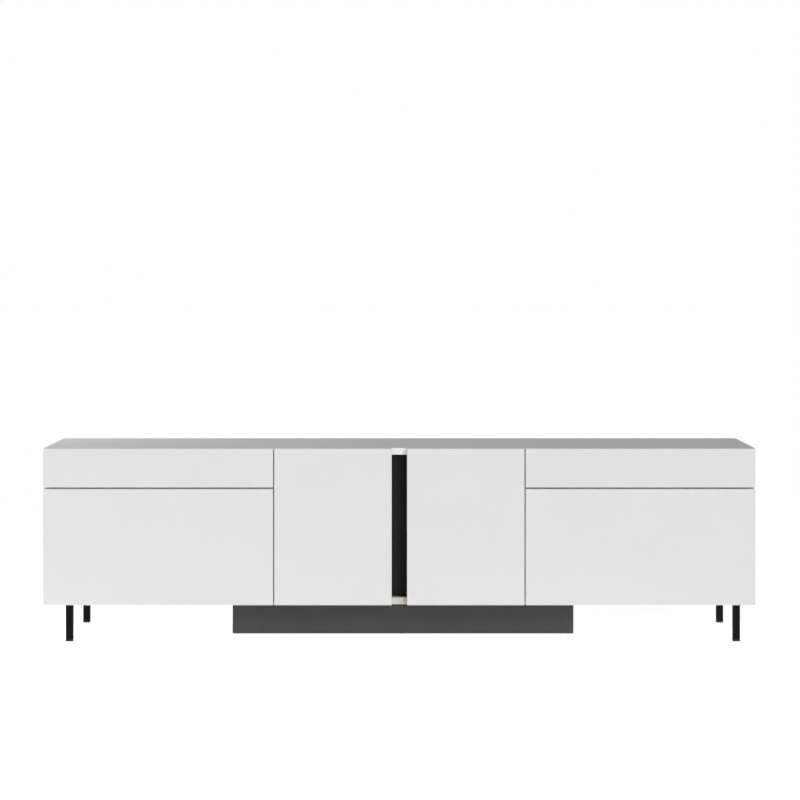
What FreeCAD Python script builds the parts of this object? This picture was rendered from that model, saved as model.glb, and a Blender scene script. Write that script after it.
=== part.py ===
import FreeCAD, Part
import Sketcher
import math
import os
import re
from types import SimpleNamespace

from FreeCAD import Placement, Rotation, Vector

# A low media cabinet: a white lacquered carcass in three bays on a recessed plinth and four thin steel legs.
# Millimetres. +X is to the viewer's right, +Y to the back, +Z up. The origin is on the floor, under the
# middle of the cabinet. Each outer bay has a drawer above a drop-down flap, and the middle bay two doors
# with a black grip channel between them.

DIMENSIONS = {
    # whole cabinet
    "width": 2000, "depth": 400, "height": 545, "floor_gap": 105,
    # boards and fronts
    "panel": 19, "front_thick": 19, "front_offset": 3, "reveal": 3, "drawer_gap": 4, "edge_radius": 1.5,
    "drawer_front_height": 109.5, "seam": 353, "handle_gap": 43,
    # back boards, let into a rebate round the carcass
    "rebate": 10, "rebate_lap": 9, "back_thick": 8, "back_play": 0.5,
    "cam_radius": 7.5, "cam_depth": 12.5, "cam_play": 0.4,
    "cable_radius": 30, "cable_height": 240, "cable_spacing": 360, "pass_back_in": 75,
    "grommet_bore": 27, "grommet_flange": 35, "grommet_play": 0.2,
    # plinth; with the legs it stands to the right of the cabinet's middle by base_shift
    "plinth_half": 490, "plinth_front_in": 158, "plinth_back_in": 22, "plinth_board": 19,
    "plinth_glide": 1.5, "base_shift": 10, "glide_radius": 8,
    # legs
    "leg_size": 20, "leg_wall": 2, "leg_side_in": 60, "leg_front_in": 23, "leg_back_in": 8,
    "leg_plate_length": 60, "leg_plate_width": 50, "leg_plate_thick": 3, "leg_glide": 5,
    # soft bumpers under the fronts
    "bumper_radius": 3.5,
    # grip channel between the doors
    "grip_half": 40, "grip_depth": 28, "grip_wall": 2, "grip_radius": 14, "stile_thick": 16,
    # loose shelf
    "shelf_height": 315, "shelf_front_in": 70, "shelf_back_in": 14, "shelf_side_gap": 2,
    "pin_radius": 2.5, "pin_out": 8, "pin_in": 9, "pin_pitch": 32,
    # concealed hinges: in is measured from the hung edge of the front, back from its face
    "cup_in": 22.5, "cup_radius": 17.5, "cup_depth": 12.5, "cup_wall": 1.5, "hinge_play": 0.2,
    "flange_thick": 1.2, "arm_pin_in": 33.5, "arm_pin_back": 26.5, "cup_pin_in": 12.5, "cup_pin_back": 12.5,
    "link_bulge": 7, "link_thick": 3, "link_half_width": 4.5, "pin_half_length": 7,
    "hinge_pin": 1.6, "hinge_bore": 1.65, "door_hinge_end": 90, "flap_hinge_end": 110,
    # flap stays: up is measured from the flap's lower edge, back from its face
    "stay_up": 242.6, "stay_back": 118.7, "stay_foot_up": 189.7, "stay_foot_back": 31,
    "stay_upper": 216.6, "stay_lower": 150, "stay_half_width": 7, "stay_thick": 2.5,
    "stay_pin": 3, "stay_bore": 3.05,
    # drawers
    "runner_length": 350, "runner_front_in": 25, "runner_height": 482, "runner_space": 13,
    "box_wall": 12, "box_base": 452, "box_height": 60, "box_length": 346, "box_bottom_thick": 6,
    "box_bottom_up": 6,
    # push latches
    "latch_size": 14, "latch_length": 42, "plunger_radius": 3, "plunger_bore": 3.1, "plunger_length": 31,
}

doc = FreeCAD.newDocument("media_cabinet")
sheet = doc.addObject("Spreadsheet::Sheet", "Dims")
for row, (alias, value) in enumerate(DIMENSIONS.items(), start=1):
    sheet.set(f"A{row}", alias)
    sheet.set(f"B{row}", str(value))
    sheet.setAlias(f"B{row}", alias)
doc.recompute()
d = SimpleNamespace(**{alias: float(sheet.get(alias)) for alias in DIMENSIONS})

# Places that many boards share, as rules on the sheet.
FRONT = "(-depth/2 + front_thick + front_offset)"      # front edge of the carcass
BACK = "(depth/2)"
CARCASS_DEPTH = "(depth - front_thick - front_offset)"
INSIDE_DEPTH = "(depth - front_thick - front_offset - rebate)"
FLOOR_OF_BAY = "(floor_gap + panel)"
BAY_HEIGHT = "(height - floor_gap - 2*panel)"
SIDE_FACE = "(width/2 - panel)"                        # inner face of a side panel
DIVIDER_OUT = "(seam + panel/2)"                       # divider's face towards an outer bay
DIVIDER_IN = "(seam - panel/2)"
SEAM_HEIGHT = "(height - drawer_front_height - drawer_gap/2)"  # middle of the gap under a drawer front
PATHS = {axis: f"Placement.Base.{axis}" for axis in "xyz"}
SIDES = (("left", -1), ("right", 1))
AXES = {"x": Rotation(Vector(0, 1, 0), 90), "y": Rotation(Vector(1, 0, 0), -90), "z": Rotation()}

nodes = {}


def in_sheet(rule):
    """A rule written with the bare aliases, as the expression that FreeCAD reads."""
    return re.sub(r"\b[a-z][a-z_]+\b", lambda word: "Dims." + word.group(), str(rule))


def worth(rule):
    """The number that a rule gives now."""
    numbers = re.sub(r"\b[a-z][a-z_]+\b", lambda word: repr(getattr(d, word.group())), str(rule))
    return FreeCAD.Units.Quantity(numbers).Value


def bind(thing, **rules):
    for name, rule in rules.items():
        thing.setExpression(PATHS.get(name, name), in_sheet(rule))
    return thing


def node(label, thing):
    """Marks a finished piece as one to be written out, under its label."""
    thing.Label = label
    nodes[label] = thing
    return thing


def block(x, y, z, length, width, height, name="block"):
    """A box with its low corner at x, y, z."""
    return bind(doc.addObject("Part::Box", name), Length=length, Width=width, Height=height, x=x, y=y, z=z)


def mirrored(side, near, far, y, z, width, height, name="block"):
    """A box between two distances from the middle plane, on the left or the right."""
    start = f"-({far})" if side < 0 else near
    return block(start, y, z, f"({far}) - ({near})", width, height, name)


def rod(x, y, z, radius, length, axis="z", name="rod"):
    """A cylinder from x, y, z along an axis."""
    cylinder = doc.addObject("Part::Cylinder", name)
    cylinder.Placement = Placement(Vector(), AXES[axis])
    return bind(cylinder, Radius=radius, Height=length, x=x, y=y, z=z)


def together(parts, name="group"):
    """Separate solids kept as one object."""
    group = doc.addObject("Part::Compound", name)
    group.Links = parts
    return group


def fused(parts, name="fused"):
    fuse = doc.addObject("Part::MultiFuse", name)
    fuse.Shapes = parts
    return fuse


def cut(base, tools, name="cut"):
    result = doc.addObject("Part::Cut", name)
    result.Base = base
    result.Tool = tools[0] if len(tools) == 1 else together(tools)
    return result


def padded_sketch(name, edges, height, role="XY_Plane"):
    """A body padded from a closed outline of line and arc edges."""
    body = doc.addObject("PartDesign::Body", name)
    sketch = body.newObject("Sketcher::SketchObject", name + "_outline")
    plane = next(feature for feature in body.Origin.OriginFeatures if feature.Role == role)
    sketch.AttachmentSupport = [(plane, "")]
    sketch.MapMode = "FlatFace"
    sketch.addGeometry(edges, False)
    pad = body.newObject("PartDesign::Pad", name + "_pad")
    pad.Profile = sketch
    bind(pad, Length=height)
    sketch.Visibility = False
    return body


def line(start, end):
    return Part.LineSegment(Vector(*start, 0), Vector(*end, 0))


def arc(start, middle, end):
    return Part.Arc(Vector(*start, 0), Vector(*middle, 0), Vector(*end, 0))


def repeated(label, master, placements):
    """Copies of one finished piece at several places, as separate solids of one node."""
    doc.recompute()
    feature = doc.addObject("Part::Feature", label)
    copies = []
    for place in placements:
        shape = master.Shape.copy()
        shape.Placement = place.multiply(shape.Placement)
        copies.append(shape)
    feature.Shape = copies[0] if len(copies) == 1 else Part.makeCompound(copies)
    return node(label, feature)


# ---------------------------------------------------------------- carcass
# Melamine-faced boards joined by cam locks. The back edges carry a rebate for the thin back boards.

CAM_HEIGHTS = (f"{FLOOR_OF_BAY} + 34", "height - panel - 20")
CAM_BACKS = ("-depth/4 + 30", "depth/4")


def cam_rods(side, face, outward, play):
    """Round castings sunk into an upright's face at |x|, or with play the pockets that hold them."""
    low = face if outward > 0 else f"{face} - cam_depth"
    start = f"{low} - {play}/2" if side > 0 else f"-({low}) - cam_depth - {play}/2"
    return [rod(start, back, z, f"cam_radius + {play}", f"cam_depth + {play}", "x")
            for z in CAM_HEIGHTS for back in CAM_BACKS]


def carcass_board(label, z, rebate_z):
    board = block("-width/2", FRONT, z, "width", CARCASS_DEPTH, "panel", label + "_board")
    step = block("-width/2 + panel - rebate_lap", "depth/2 - rebate", rebate_z,
                 "width - 2*(panel - rebate_lap)", "rebate", "rebate_lap")
    return node(label, cut(board, [step]))


carcass_board("top_panel", "height - panel", "height - panel")
carcass_board("bottom_panel", "floor_gap", "floor_gap + panel - rebate_lap")

for name, side in SIDES:
    board = mirrored(side, SIDE_FACE, "width/2", FRONT, FLOOR_OF_BAY, CARCASS_DEPTH, BAY_HEIGHT)
    step = mirrored(side, SIDE_FACE, f"{SIDE_FACE} + rebate_lap", "depth/2 - rebate", FLOOR_OF_BAY,
                    "rebate", BAY_HEIGHT)
    node(f"side_panel_{name}", cut(board, [step, *cam_rods(side, SIDE_FACE, 1, "cam_play")]))

# The dividers have a cable pass near the back and two rows of holes for the shelf pins.
PIN_ROWS = ("-depth/2 + shelf_front_in + 25", "depth/2 - shelf_back_in - 35")
PINS_BELOW, PINS_ABOVE = 3, 3
for name, side in SIDES:
    board = mirrored(side, DIVIDER_IN, DIVIDER_OUT, FRONT, FLOOR_OF_BAY, INSIDE_DEPTH, BAY_HEIGHT)
    start = f"-({DIVIDER_OUT}) - 1" if side < 0 else f"{DIVIDER_IN} - 1"
    tools = [rod(start, "depth/2 - pass_back_in", "cable_height", "cable_radius", "panel + 2", "x")]
    hole_start = f"-({DIVIDER_IN}) - pin_in" if side < 0 else DIVIDER_IN
    for row in PIN_ROWS:
        for step in range(-PINS_BELOW, PINS_ABOVE + 1):
            height = f"shelf_height - pin_radius + {step}*pin_pitch"
            tools.append(rod(hole_start, row, height, "pin_radius", "pin_in", "x"))
    tools += cam_rods(side, DIVIDER_OUT, -1, "cam_play")
    node(f"divider_{name}", cut(board, tools))
castings = []
for _, side in SIDES:
    for face, outward in ((SIDE_FACE, 1), (DIVIDER_OUT, -1)):
        castings += cam_rods(side, face, outward, "0")
node("cam_locks", together(castings))

for name, side in SIDES:
    node(f"drawer_shelf_{name}", mirrored(side, DIVIDER_OUT, SIDE_FACE, FRONT, f"{SEAM_HEIGHT} - panel/2",
                                          INSIDE_DEPTH, "panel"))

# ---------------------------------------------------------------- back boards
# Three thin boards lie in the rebate and are screwed on from behind, with round cable outlets.

BOARD_BASE = "(floor_gap + panel - rebate_lap + back_play)"
BOARD_HEIGHT = "(height - floor_gap - 2*panel + 2*rebate_lap - 2*back_play)"
BOARD_FACE = "(depth/2 - rebate + back_thick)"
OUTER_EDGE = f"({SIDE_FACE} + rebate_lap - back_play)"


def outlet(x):
    return rod(x, "depth/2 - rebate - 1", "cable_height", "cable_radius", "back_thick + 2", "y")


for name, side in SIDES:
    board = mirrored(side, "seam + back_play", OUTER_EDGE, "depth/2 - rebate", BOARD_BASE, "back_thick",
                     BOARD_HEIGHT)
    middle = f"{side}*(seam + width/2)/2"
    node(f"back_board_{name}", cut(board, [outlet(middle)]))
board = block("-seam + back_play", "depth/2 - rebate", BOARD_BASE, "2*(seam - back_play)", "back_thick",
              BOARD_HEIGHT)
node("back_board_centre", cut(board, [outlet("-cable_spacing/2"), outlet("cable_spacing/2")]))

# Cable grommets: a plastic sleeve in each outlet with a flange on the outside.
GROMMET_DEPTH = 16
sleeve = rod(0, -GROMMET_DEPTH, 0, "cable_radius - grommet_play", GROMMET_DEPTH, "y")
flange = rod(0, 0, 0, "grommet_flange", "rebate - back_thick", "y")
ring = cut(fused([sleeve, flange]), [rod(0, -GROMMET_DEPTH - 1, 0, "grommet_bore", GROMMET_DEPTH + 4, "y")],
           "grommet")
outer_bay = (d.seam + d.width / 2) / 2
repeated("cable_grommets", ring, [
    Placement(Vector(x, worth(BOARD_FACE), d.cable_height), Rotation())
    for x in (-outer_bay, -d.cable_spacing / 2, d.cable_spacing / 2, outer_bay)
])

# Countersunk screws through the back boards into the carcass edges.
SCREW_SHANK, SCREW_HEAD, SCREW_LENGTH, HEAD_HEIGHT = 1.5, 3.6, 14, 1.6
shank = rod(0, -SCREW_LENGTH, 0, SCREW_SHANK, SCREW_LENGTH, "y")
head = doc.addObject("Part::Cone", "screw_head")
head.Placement = Placement(Vector(0, -HEAD_HEIGHT, 0), AXES["y"])
head.Radius1, head.Radius2, head.Height = SCREW_SHANK, SCREW_HEAD, HEAD_HEIGHT
back_screw = fused([shank, head], "back_screw")
EDGE_MARGIN = 5
low = worth(BOARD_BASE) + EDGE_MARGIN - 1
high = worth(BOARD_BASE) + worth(BOARD_HEIGHT) - EDGE_MARGIN + 1
screw_spots = []
SCREWS_ACROSS = 4
for near, far in ((-worth(OUTER_EDGE), -d.seam), (-d.seam, d.seam), (d.seam, worth(OUTER_EDGE))):
    inset = (far - near) / 12
    for i in range(SCREWS_ACROSS):
        x = near + inset + (far - near - 2 * inset) * i / (SCREWS_ACROSS - 1)
        screw_spots += [(x, low), (x, high)]
for x in (worth(OUTER_EDGE) - EDGE_MARGIN + 1, d.seam + EDGE_MARGIN):
    for z in (low + 110, high - 110):
        screw_spots += [(x, z), (-x, z)]
repeated("back_screws", back_screw,
         [Placement(Vector(x, worth(BOARD_FACE) + 0.3, z), Rotation()) for x, z in screw_spots])

# ---------------------------------------------------------------- plinth
# A box of four boards under the middle of the cabinet, set back from the front, on low glides.

PLINTH_HEIGHT = "(floor_gap - plinth_glide)"
PLINTH_FRONT = "(-depth/2 + plinth_front_in)"
PLINTH_BACK = "(depth/2 - plinth_back_in)"
PLINTH_LEFT = "base_shift - plinth_half"
node("plinth_front", block(PLINTH_LEFT, PLINTH_FRONT, "plinth_glide", "2*plinth_half", "plinth_board",
                           PLINTH_HEIGHT))
node("plinth_back", block(PLINTH_LEFT, f"{PLINTH_BACK} - plinth_board", "plinth_glide", "2*plinth_half",
                          "plinth_board", PLINTH_HEIGHT))
node("plinth_ends", together([
    block(start, f"{PLINTH_FRONT} + plinth_board", "plinth_glide", "plinth_board",
          f"{PLINTH_BACK} - {PLINTH_FRONT} - 2*plinth_board", PLINTH_HEIGHT)
    for start in (PLINTH_LEFT, "base_shift + plinth_half - plinth_board")
]))
ANGLE, ANGLE_THICK = 30, 2
angle = fused([block(0, 0, -ANGLE_THICK, ANGLE, ANGLE, ANGLE_THICK),
               block(0, 0, -ANGLE, ANGLE_THICK, ANGLE, ANGLE)], "angle_bracket")
inner = d.plinth_half - d.plinth_board
turned_back = Rotation(Vector(0, 0, 1), 180)
brackets = []
for y in (-20, 110):
    brackets.append(Placement(Vector(d.base_shift - inner, y, d.floor_gap), Rotation()))
    brackets.append(Placement(Vector(d.base_shift + inner, y + ANGLE, d.floor_gap), turned_back))
repeated("plinth_brackets", angle, brackets)
glide = rod(0, 0, 0, "glide_radius", "plinth_glide", "z", "plinth_glide")
front_line = worth(PLINTH_FRONT) + d.plinth_board / 2
back_line = worth(PLINTH_BACK) - d.plinth_board / 2
repeated("plinth_glides", glide, [
    Placement(Vector(x, y, 0), Rotation())
    for x in (d.base_shift - d.plinth_half + 12, d.base_shift, d.base_shift + d.plinth_half - 12)
    for y in (front_line, back_line)
])

# ---------------------------------------------------------------- legs
# Square steel tube welded to a plate, with a plastic glide plugged into its foot.

TUBE_HEIGHT = "(floor_gap - leg_glide - leg_plate_thick)"


def rounded_square(half, radius):
    """Edges of a square with rounded corners, centred on the origin."""
    flat, bend = half - radius, radius * (1 - math.sqrt(0.5))
    edges = []
    for turn in range(4):
        c, s = round(math.cos(turn * math.pi / 2)), round(math.sin(turn * math.pi / 2))
        start, corner, mid, after = (half, -flat), (half, flat), (half - bend, half - bend), (flat, half)
        spun = [(c * x - s * y, s * x + c * y) for x, y in (start, corner, mid, after)]
        edges += [line(spun[0], spun[1]), arc(spun[1], spun[2], spun[3])]
    return edges


tube = padded_sketch("leg_tube", rounded_square(d.leg_size / 2, 2.0), TUBE_HEIGHT)
bind(tube, z="leg_glide")
bore = padded_sketch("leg_bore", rounded_square(d.leg_size / 2 - d.leg_wall, 0.6), f"{TUBE_HEIGHT} + 1")
bind(bore, z="leg_glide - 1")
plate = block("-leg_plate_width/2", "-leg_size/2", "floor_gap - leg_plate_thick", "leg_plate_width",
              "leg_plate_length", "leg_plate_thick", "leg_plate")
SCREW_X, SCREW_Y = 17, (20, 42)
plate_holes = [rod(s * SCREW_X, y, "floor_gap - leg_plate_thick - 1", 2.4, "leg_plate_thick + 2")
               for s in (-1, 1) for y in SCREW_Y]
leg = fused([cut(tube, [bore]), cut(plate, plate_holes)], "leg")
leg_out = d.width / 2 - d.leg_side_in
leg_lines = (d.base_shift - leg_out, d.base_shift + leg_out)
front_y = -d.depth / 2 + d.leg_front_in + d.leg_size / 2
back_y = d.depth / 2 - d.leg_back_in - d.leg_size / 2
leg_spots = {"front": [Placement(Vector(x, front_y, 0), Rotation()) for x in leg_lines],
             "back": [Placement(Vector(x, back_y, 0), turned_back) for x in leg_lines]}
for name, spots in leg_spots.items():
    repeated(f"legs_{name}", leg, spots)

PLUG = 12
foot = padded_sketch("foot_pad", rounded_square(d.leg_size / 2, 2.0), "leg_glide")
plug = padded_sketch("foot_plug", rounded_square(d.leg_size / 2 - d.leg_wall - 0.2, 0.6),
                     f"leg_glide + {PLUG}")
every_leg = leg_spots["front"] + leg_spots["back"]
repeated("leg_glides", fused([foot, plug], "leg_glide"), every_leg)

leg_screw = fused([rod(0, 0, 0, 2.2, 16), rod(0, 0, -2.2, 4.2, 2.2)], "leg_screw")
under = d.floor_gap - d.leg_plate_thick
repeated("leg_screws", leg_screw, [
    spot.multiply(Placement(Vector(s * SCREW_X, y, under), Rotation()))
    for spot in every_leg for s in (-1, 1) for y in SCREW_Y
])

# ---------------------------------------------------------------- grip channel
# A black aluminium trough between the doors. Fingers reach in past the door edges and pull.

mouth, floor = worth(FRONT), worth(FRONT) + d.grip_depth


def trough(inset):
    """Points of the trough's wall, inset from its outside, from the left lip round to the right lip."""
    r = d.grip_radius - inset
    side_x, back_y = d.grip_half - inset, floor - inset
    bend = r * (1 - math.sqrt(0.5))
    left = [(-side_x, mouth), (-side_x, back_y - r), (-side_x + bend, back_y - bend), (-side_x + r, back_y)]
    return left + [(-x, y) for x, y in reversed(left)]


def trough_edges():
    outer, inner = trough(0), trough(d.grip_wall)
    edges = []
    for path in (outer, inner):
        edges += [line(path[0], path[1]), arc(*path[1:4]), line(path[3], path[4]), arc(*path[4:7]),
                  line(path[6], path[7])]
    return edges + [line(outer[0], inner[0]), line(outer[7], inner[7])]


channel = padded_sketch("grip_channel", trough_edges(), BAY_HEIGHT)
bind(channel, z=FLOOR_OF_BAY)
node("grip_channel", channel)
node("centre_stile", block("-grip_half", f"{FRONT} + grip_depth", FLOOR_OF_BAY, "2*grip_half", "stile_thick",
                           BAY_HEIGHT))

# ---------------------------------------------------------------- loose shelf on pins

node("centre_shelf", block(f"-({DIVIDER_IN} - shelf_side_gap)", "-depth/2 + shelf_front_in", "shelf_height",
                           f"2*({DIVIDER_IN} - shelf_side_gap)", "depth - shelf_front_in - shelf_back_in",
                           "panel"))
pins = []
for name, side in SIDES:
    start = f"-({DIVIDER_IN}) - pin_in" if side < 0 else f"{DIVIDER_IN} - pin_out"
    pins += [rod(start, row, "shelf_height - pin_radius", "pin_radius", "pin_in + pin_out", "x")
             for row in PIN_ROWS]
node("shelf_pins", together(pins))

# ---------------------------------------------------------------- fronts
# Lacquered boards with eased edges, which cover the carcass edges and meet in narrow reveals.


def front_board(label, left, low, width, height):
    """A front seen from before the cabinet: a rectangle padded back to its thickness, all edges eased."""
    body = doc.addObject("PartDesign::Body", label)
    sketch = body.newObject("Sketcher::SketchObject", label + "_outline")
    plane = next(feature for feature in body.Origin.OriginFeatures if feature.Role == "XZ_Plane")
    sketch.AttachmentSupport = [(plane, "")]
    sketch.MapMode = "FlatFace"
    w, h = worth(width), worth(height)
    corners = [(0, 0), (w, 0), (w, h), (0, h)]
    sketch.addGeometry([line(corners[i], corners[(i + 1) % 4]) for i in range(4)], False)
    for i in range(4):
        sketch.addConstraint(Sketcher.Constraint("Coincident", i, 2, (i + 1) % 4, 1))
        sketch.addConstraint(Sketcher.Constraint("Horizontal" if i % 2 == 0 else "Vertical", i))
    sketch.addConstraint(Sketcher.Constraint("Coincident", 0, 1, -1, 1))
    across = sketch.addConstraint(Sketcher.Constraint("DistanceX", 0, 1, 0, 2, w))
    up = sketch.addConstraint(Sketcher.Constraint("DistanceY", 1, 1, 1, 2, h))
    sketch.setExpression(f"Constraints[{across}]", in_sheet(width))
    sketch.setExpression(f"Constraints[{up}]", in_sheet(height))
    pad = body.newObject("PartDesign::Pad", label + "_pad")
    pad.Profile = sketch
    bind(pad, Length="front_thick")
    doc.recompute()
    ease = body.newObject("PartDesign::Fillet", label + "_eased")
    ease.Base = (pad, [f"Edge{i + 1}" for i in range(len(pad.Shape.Edges))])
    bind(ease, Radius="edge_radius")
    body.Tip = ease
    sketch.Visibility = False
    return bind(body, x=left, y="-depth/2 + front_thick", z=low)


OUTER_WIDTH = "(width/2 - seam - reveal/2)"
DOOR_WIDTH = "(seam - reveal/2 - handle_gap/2)"
FLAP_HEIGHT = "(height - floor_gap - drawer_front_height - drawer_gap)"
DOOR_HEIGHT = "(height - floor_gap)"


def cup_pocket(x, z):
    return rod(x, "-depth/2 + front_thick - cup_depth", z, "cup_radius", "cup_depth + 1", "y")


for name, side in SIDES:
    left = "-width/2" if side < 0 else "seam + reveal/2"
    node(f"drawer_{name}_front", front_board(f"drawer_{name}_board", left, "height - drawer_front_height",
                                             OUTER_WIDTH, "drawer_front_height"))
    flap = front_board(f"flap_{name}_board", left, "floor_gap", OUTER_WIDTH, FLAP_HEIGHT)
    spots = [f"{left} + flap_hinge_end", f"{left} + {OUTER_WIDTH} - flap_hinge_end"]
    node(f"flap_{name}_panel", cut(flap, [cup_pocket(x, "floor_gap + cup_in") for x in spots]))
    left = "-seam + reveal/2" if side < 0 else "handle_gap/2"
    hung = f"{side}*(seam - reveal/2 - cup_in)"
    door = front_board(f"door_{name}_board", left, "floor_gap", DOOR_WIDTH, DOOR_HEIGHT)
    spots = ["floor_gap + door_hinge_end", "height - door_hinge_end"]
    node(f"door_{name}_panel", cut(door, [cup_pocket(hung, z) for z in spots]))

# Soft bumpers on the carcass edges, which the free ends of the fronts close against.
BUMPER_OUT = 2.4
bumper_spots = [("2*grip_half", "floor_gap + panel/2"), ("2*grip_half", "height - panel/2")]
bumper_spots += [(x, z) for x in (f"({DIVIDER_OUT} - 4)", f"({SIDE_FACE} + panel/2)")
                 for z in (f"{SEAM_HEIGHT} + 50", f"{SEAM_HEIGHT} - 40")]
node("bumpers", together([
    rod(f"{side}*{x}", f"{FRONT} - {BUMPER_OUT}", z, "bumper_radius", BUMPER_OUT, "y")
    for _, side in SIDES for x, z in bumper_spots
]))

# ---------------------------------------------------------------- concealed hinges
# Modelled once as on the left door: x is the distance in from its hung edge, y back from its face,
# and z along the hinge line. A curved link joins a pin in the arm to a pin in the cup.

LUG_NEAR, LUG_FAR = 5.2, 7
cup_top = "front_thick"
bowl = rod("cup_in", f"{cup_top} - cup_depth + 0.1", 0, "cup_radius - hinge_play", "cup_depth - 0.1", "y")
rim = rod("cup_in", cup_top, 0, "cup_radius + 2", "flange_thick", "y")
wing = block("cup_in", cup_top, -31, 18.5, "flange_thick", 62)
hollow = rod("cup_in", f"{cup_top} - cup_depth + 1.1", 0, "cup_radius - hinge_play - cup_wall",
             "cup_depth + 2", "y")
slot = block(-1, 11, -5.1, 13, 12, 10.2)
lugs = [block("cup_pin_in - 3.2", 7.2, z, 6.4, 8.2, LUG_FAR - LUG_NEAR) for z in (LUG_NEAR, -LUG_FAR)]
cup_bore = rod("cup_pin_in", "cup_pin_back", -10, "hinge_bore", 20)
shell = cut(fused([bowl, rim, wing]), [hollow])
cup = cut(fused([cut(shell, [slot]), *lugs]), [cup_bore], "hinge_cup")

start = Vector(d.arm_pin_in, d.arm_pin_back, 0)
end = Vector(d.cup_pin_in, d.cup_pin_back, 0)
chord = end - start
across = Vector(-chord.y, chord.x, 0).normalize()
bend_radius = chord.Length ** 2 / (8 * d.link_bulge) + d.link_bulge / 2
centre = (start + end) * 0.5 + across * (d.link_bulge - bend_radius)
outer_end, inner_end = bend_radius + d.link_thick / 2, bend_radius - d.link_thick / 2


def on_bend(towards, distance):
    """The point of a circle about the bend's centre, on the ray towards a place."""
    spot = centre + (towards - centre).normalize() * distance
    return spot.x, spot.y


crown = centre + across * bend_radius
band = padded_sketch("link_band", [
    arc(on_bend(start, outer_end), on_bend(crown, outer_end), on_bend(end, outer_end)),
    line(on_bend(end, outer_end), on_bend(end, inner_end)),
    arc(on_bend(end, inner_end), on_bend(crown, inner_end), on_bend(start, inner_end)),
    line(on_bend(start, inner_end), on_bend(start, outer_end)),
], "2*link_half_width")
bind(band, z="-link_half_width")
LINK_PINS = ("arm_pin", "cup_pin")
eyes = [rod(f"{pin}_in", f"{pin}_back", "-link_half_width", 3, "2*link_half_width") for pin in LINK_PINS]
pins = [rod(f"{pin}_in", f"{pin}_back", "-pin_half_length", "hinge_pin", "2*pin_half_length")
        for pin in LINK_PINS]
link = fused([band, *eyes, *pins], "hinge_link")

WEB_FACE, SHEET, ARM_FRONT, ARM_STEP, ARM_END = 38.5, 1.4, 22.8, 34, 78


def hinge_arm(face, name):
    """The arm and its mounting plate, which sits on a board whose face is at that distance in."""
    cheeks = []
    for z in (LUG_NEAR, -LUG_NEAR - SHEET):
        cheeks.append(block(29.5, ARM_FRONT, z, WEB_FACE + SHEET - 29.5, ARM_STEP - ARM_FRONT, SHEET))
        cheeks.append(block(face + 2, ARM_STEP, z, WEB_FACE + SHEET - face - 2, ARM_END - ARM_STEP, SHEET))
    web = block(WEB_FACE, ARM_FRONT + 2, -LUG_NEAR - SHEET, SHEET, ARM_END - ARM_FRONT - 2,
                2 * (LUG_NEAR + SHEET))
    foot = block(face, ARM_STEP, -9, 2, ARM_END + 6 - ARM_STEP, 18)
    wings = block(face, 52, -24, 2, 14, 48)
    bore = rod("arm_pin_in", "arm_pin_back", -10, "hinge_bore", 20)
    return cut(fused([*cheeks, web, foot, wings]), [bore], name)


door_arm = hinge_arm(d.panel / 2 - d.reveal / 2, "door_hinge_arm")
flap_arm = hinge_arm(d.panel, "flap_hinge_arm")

# Left door: as modelled. Right door: turned half round the depth axis. Flaps: inwards becomes upwards.
door_edge = d.seam - d.reveal / 2
door_heights = (d.floor_gap + d.door_hinge_end, d.height - d.door_hinge_end)
outer_width = worth(OUTER_WIDTH)
upright, half_round = Rotation(Vector(0, 1, 0), -90), Rotation(Vector(0, 1, 0), 180)
hinge_spots = {}
for name, side in SIDES:
    turn = Rotation() if side < 0 else half_round
    hung_edge = side * door_edge
    hinge_spots["door", name] = [Placement(Vector(hung_edge, -d.depth / 2, z), turn) for z in door_heights]
    left = -d.width / 2 if side < 0 else d.seam + d.reveal / 2
    ends = (left + d.flap_hinge_end, left + outer_width - d.flap_hinge_end)
    hinge_spots["flap", name] = [Placement(Vector(x, -d.depth / 2, d.floor_gap), upright) for x in ends]

for (kind, name), spots in hinge_spots.items():
    repeated(f"{kind}_{name}_hinge_links", link, spots)
    if kind == "door":
        repeated(f"door_{name}_hinge_cups", cup, spots)
for kind, arm in (("door", door_arm), ("flap", flap_arm)):
    repeated(f"{kind}_hinge_arms", arm, hinge_spots[kind, "left"] + hinge_spots[kind, "right"])

# ---------------------------------------------------------------- flap stays
# Two flat arms fold beside the outer side panel. Distances in are from the panel's inner face.

UPPER_IN, LOWER_IN, FOOT_IN, PLATE_THICK = 2.6, 5.6, 8.6, 1.6
HEAD_RADIUS, HEAD_THICK = 5, 1.2
pivot = Vector(0, d.stay_back - d.depth / 2, d.stay_up + d.floor_gap)
foot_pivot = Vector(0, d.stay_foot_back - d.depth / 2, d.stay_foot_up + d.floor_gap)
apart = foot_pivot - pivot
along = (d.stay_upper ** 2 - d.stay_lower ** 2 + apart.Length ** 2) / (2 * apart.Length)
off = math.sqrt(d.stay_upper ** 2 - along ** 2)
unit = Vector(apart).normalize()
elbow = pivot + unit * along + Vector(0, -unit.z, unit.y) * off


def layer(side, near, thick):
    """Low x of a layer that lies at that distance in from the inner face of a side panel."""
    face = d.width / 2 - d.panel
    return -face + near if side < 0 else face - near - thick


def stay_arm(side, near, start, end, extras, name):
    """A flat bar with round ends from one pivot to the other, with a bore at its start."""
    x, run = layer(side, near, d.stay_thick), end - start
    bar = doc.addObject("Part::Box", name + "_bar")
    bind(bar, Length="stay_thick", Width="2*stay_half_width")
    bar.Height = run.Length
    turn = Rotation(Vector(0, 0, 1), run)
    bar.Placement = Placement(start + Vector(x, 0, 0) - turn.multVec(Vector(0, d.stay_half_width, 0)), turn)
    ends = [rod(x, spot.y, spot.z, "stay_half_width", "stay_thick", "x") for spot in (start, end)]
    bore = rod(x - 5, start.y, start.z, "stay_bore", 20, "x")
    return cut(fused([bar, *ends, *extras]), [bore], name)


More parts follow.
